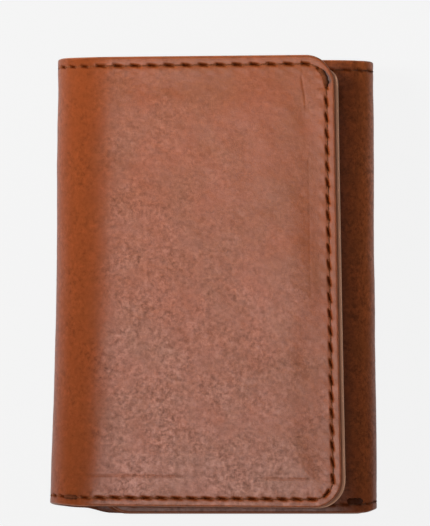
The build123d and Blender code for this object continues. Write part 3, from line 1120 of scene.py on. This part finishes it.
def inner_stitches(body, node, low_x, high_x, y_top, radius_low, radius_high):
    """Stitches seen from inside a panel: down one side, round the bottom's corners and up the other."""
    threads = ThreadPiece()
    rng = np.random.default_rng(len(node))
    share = np.linspace(-1, 1, 9)
    bottom = SEAM_INSET - HALF_HEIGHT
    path = [(low_x, y_top)]
    path += arc(low_x + radius_low, bottom + radius_low, radius_low, 2, 3, 12)
    path += arc(high_x - radius_high, bottom + radius_high, radius_high, 3, 4, 12)
    path = np.array([*path, (high_x, y_top)])
    length = length_along(path)
    count = round(length[-1] / STITCH)
    pitch = length[-1] / count
    for n in range(count):
        middle = (n + 0.5) * pitch
        at = middle + share * pitch * 0.44
        u, y = u_of(body, np.interp(at, length, path[:, 0])), np.interp(at, length, path[:, 1])
        depth = inner_depth(body, u, y).max() + 0.12 - 0.5 * np.abs(share) ** 4
        threads.add(fold(u, y, depth), smooth(np.abs(share), 0.6, 1.0), (middle, rng.uniform(0, 40)))
    piece = threads.make(node.replace("thread", "stitches"))
    stand_in(piece, node, body)


# The inside seams lie POCKET_INSET from the pockets' edges and follow the cover's seam at the free ends
POCKET_INSET = 1.8
POCKET_SEAM_TOP = 36.0
WINDOW_SEAM_TOP = 37.5
TIGHT_CORNER = 0.6

cover_stitches()
inner_stitches("front_flap", "pocket_thread_front_flap",
               box_mm("upper_card_pocket_front_flap")[0][0] + POCKET_INSET, FLAP_EDGE - SEAM_INSET,
               POCKET_SEAM_TOP, TIGHT_CORNER, ARC_R)
inner_stitches("tucked_panel", "pocket_thread_tucked_panel",
               TUCKED_EDGE + SEAM_INSET, box_mm("upper_card_pocket_tucked_panel")[1][0] - POCKET_INSET,
               POCKET_SEAM_TOP, ARC_R, TIGHT_CORNER)
inner_stitches("back_panel", "id_window_thread", FRAME_LOW[0] + POCKET_INSET, FRAME_HIGH[0] - POCKET_INSET,
               WINDOW_SEAM_TOP, TIGHT_CORNER, TIGHT_CORNER)


# ------ floor, light and camera

PAPER = (0.896, 0.896, 0.896)  # the pale ground, as the camera sees it
FLOOR_HALF = 6.0
FLOOR_DROP = 0.0002


def make_floor():
    """Glowing paper, which lights the wallet's sides and takes only a faint shadow."""
    mesh = bpy.data.meshes.new("floor")
    signs = ((-1, -1), (1, -1), (1, 1), (-1, 1))
    corners = [(x * FLOOR_HALF, y * FLOOR_HALF, -FLOOR_DROP) for x, y in signs]
    mesh.from_pydata(corners, [], [(0, 1, 2, 3)])
    floor = new_object("floor", mesh)
    look = Shading(bpy.data.materials.new("pale_paper"))
    seen = look.add("LightPath").outputs["Is Camera Ray"]
    glow = look.add("Emission", Color=PAPER, Strength=look.ramp(seen, 0.0, 1.0, 0.65, 1.01))
    dress(look, Base_Color=(0.8, 0.8, 0.8), Roughness=1.0, Specular_IOR_Level=0.0)
    look.mix_surface(0.03, glow, look.nodes["Principled BSDF"], "Material Output")
    mesh.materials.append(look.owner)


def make_world():
    """A dim tent of light that the camera sees as the same pale ground."""
    world = bpy.data.worlds.new("studio")
    bpy.context.scene.world = world
    look = Shading(world)
    world.cycles_visibility.glossy = False
    tent = look.nodes["Background"]
    look.fill(tent, Color=(0.98, 0.99, 1.0), Strength=0.13)
    ground = look.add("Background", Color=PAPER)
    look.mix_surface(look.add("LightPath").outputs["Is Camera Ray"], tent, ground, "World Output")


def softbox(name, place, target, size, power, spread=180.0):
    data = bpy.data.lights.new(name, "AREA")
    data.shape = "RECTANGLE"
    data.size, data.size_y = size
    data.energy = power
    data.spread = math.radians(spread)
    light = new_object(name, data)
    light.location = place
    light.rotation_euler = (Vector(target) - Vector(place)).to_track_quat("-Z", "Y").to_euler()
    return light


def make_camera():
    """A long lens a metre away, almost straight above the flap."""
    data = bpy.data.cameras.new("camera")
    camera = new_object("camera", data)
    elevation = math.radians(87.0)
    distance = 1.0
    aim = Vector((0.0, 0.0052, FLAP_HIGH[2] * MM))
    back = Vector((0.0, -math.cos(elevation), math.sin(elevation)))
    camera.location = aim + back * distance
    camera.rotation_mode = "QUATERNION"
    camera.rotation_quaternion = (-back).to_track_quat("-Z", "Y")
    data.sensor_width = 36.0
    data.lens = 283.5
    data.clip_start, data.clip_end = 0.05, 20.0
    bpy.context.scene.camera = camera


make_floor()
make_world()
softbox("overhead", (-0.10, -0.16, 1.25), (0.0, 0.0, 0.0), (0.62, 0.60), 3.7)
key = softbox("key_left", (-0.66, 0.22, 0.48), (-0.02, 0.17, 0.02), (0.35, 0.35), 1.28, 47.0)
key.visible_glossy = False
key.data.cycles.use_multiple_importance_sampling = False
make_camera()
bpy.context.scene.view_settings.view_transform = "Standard"
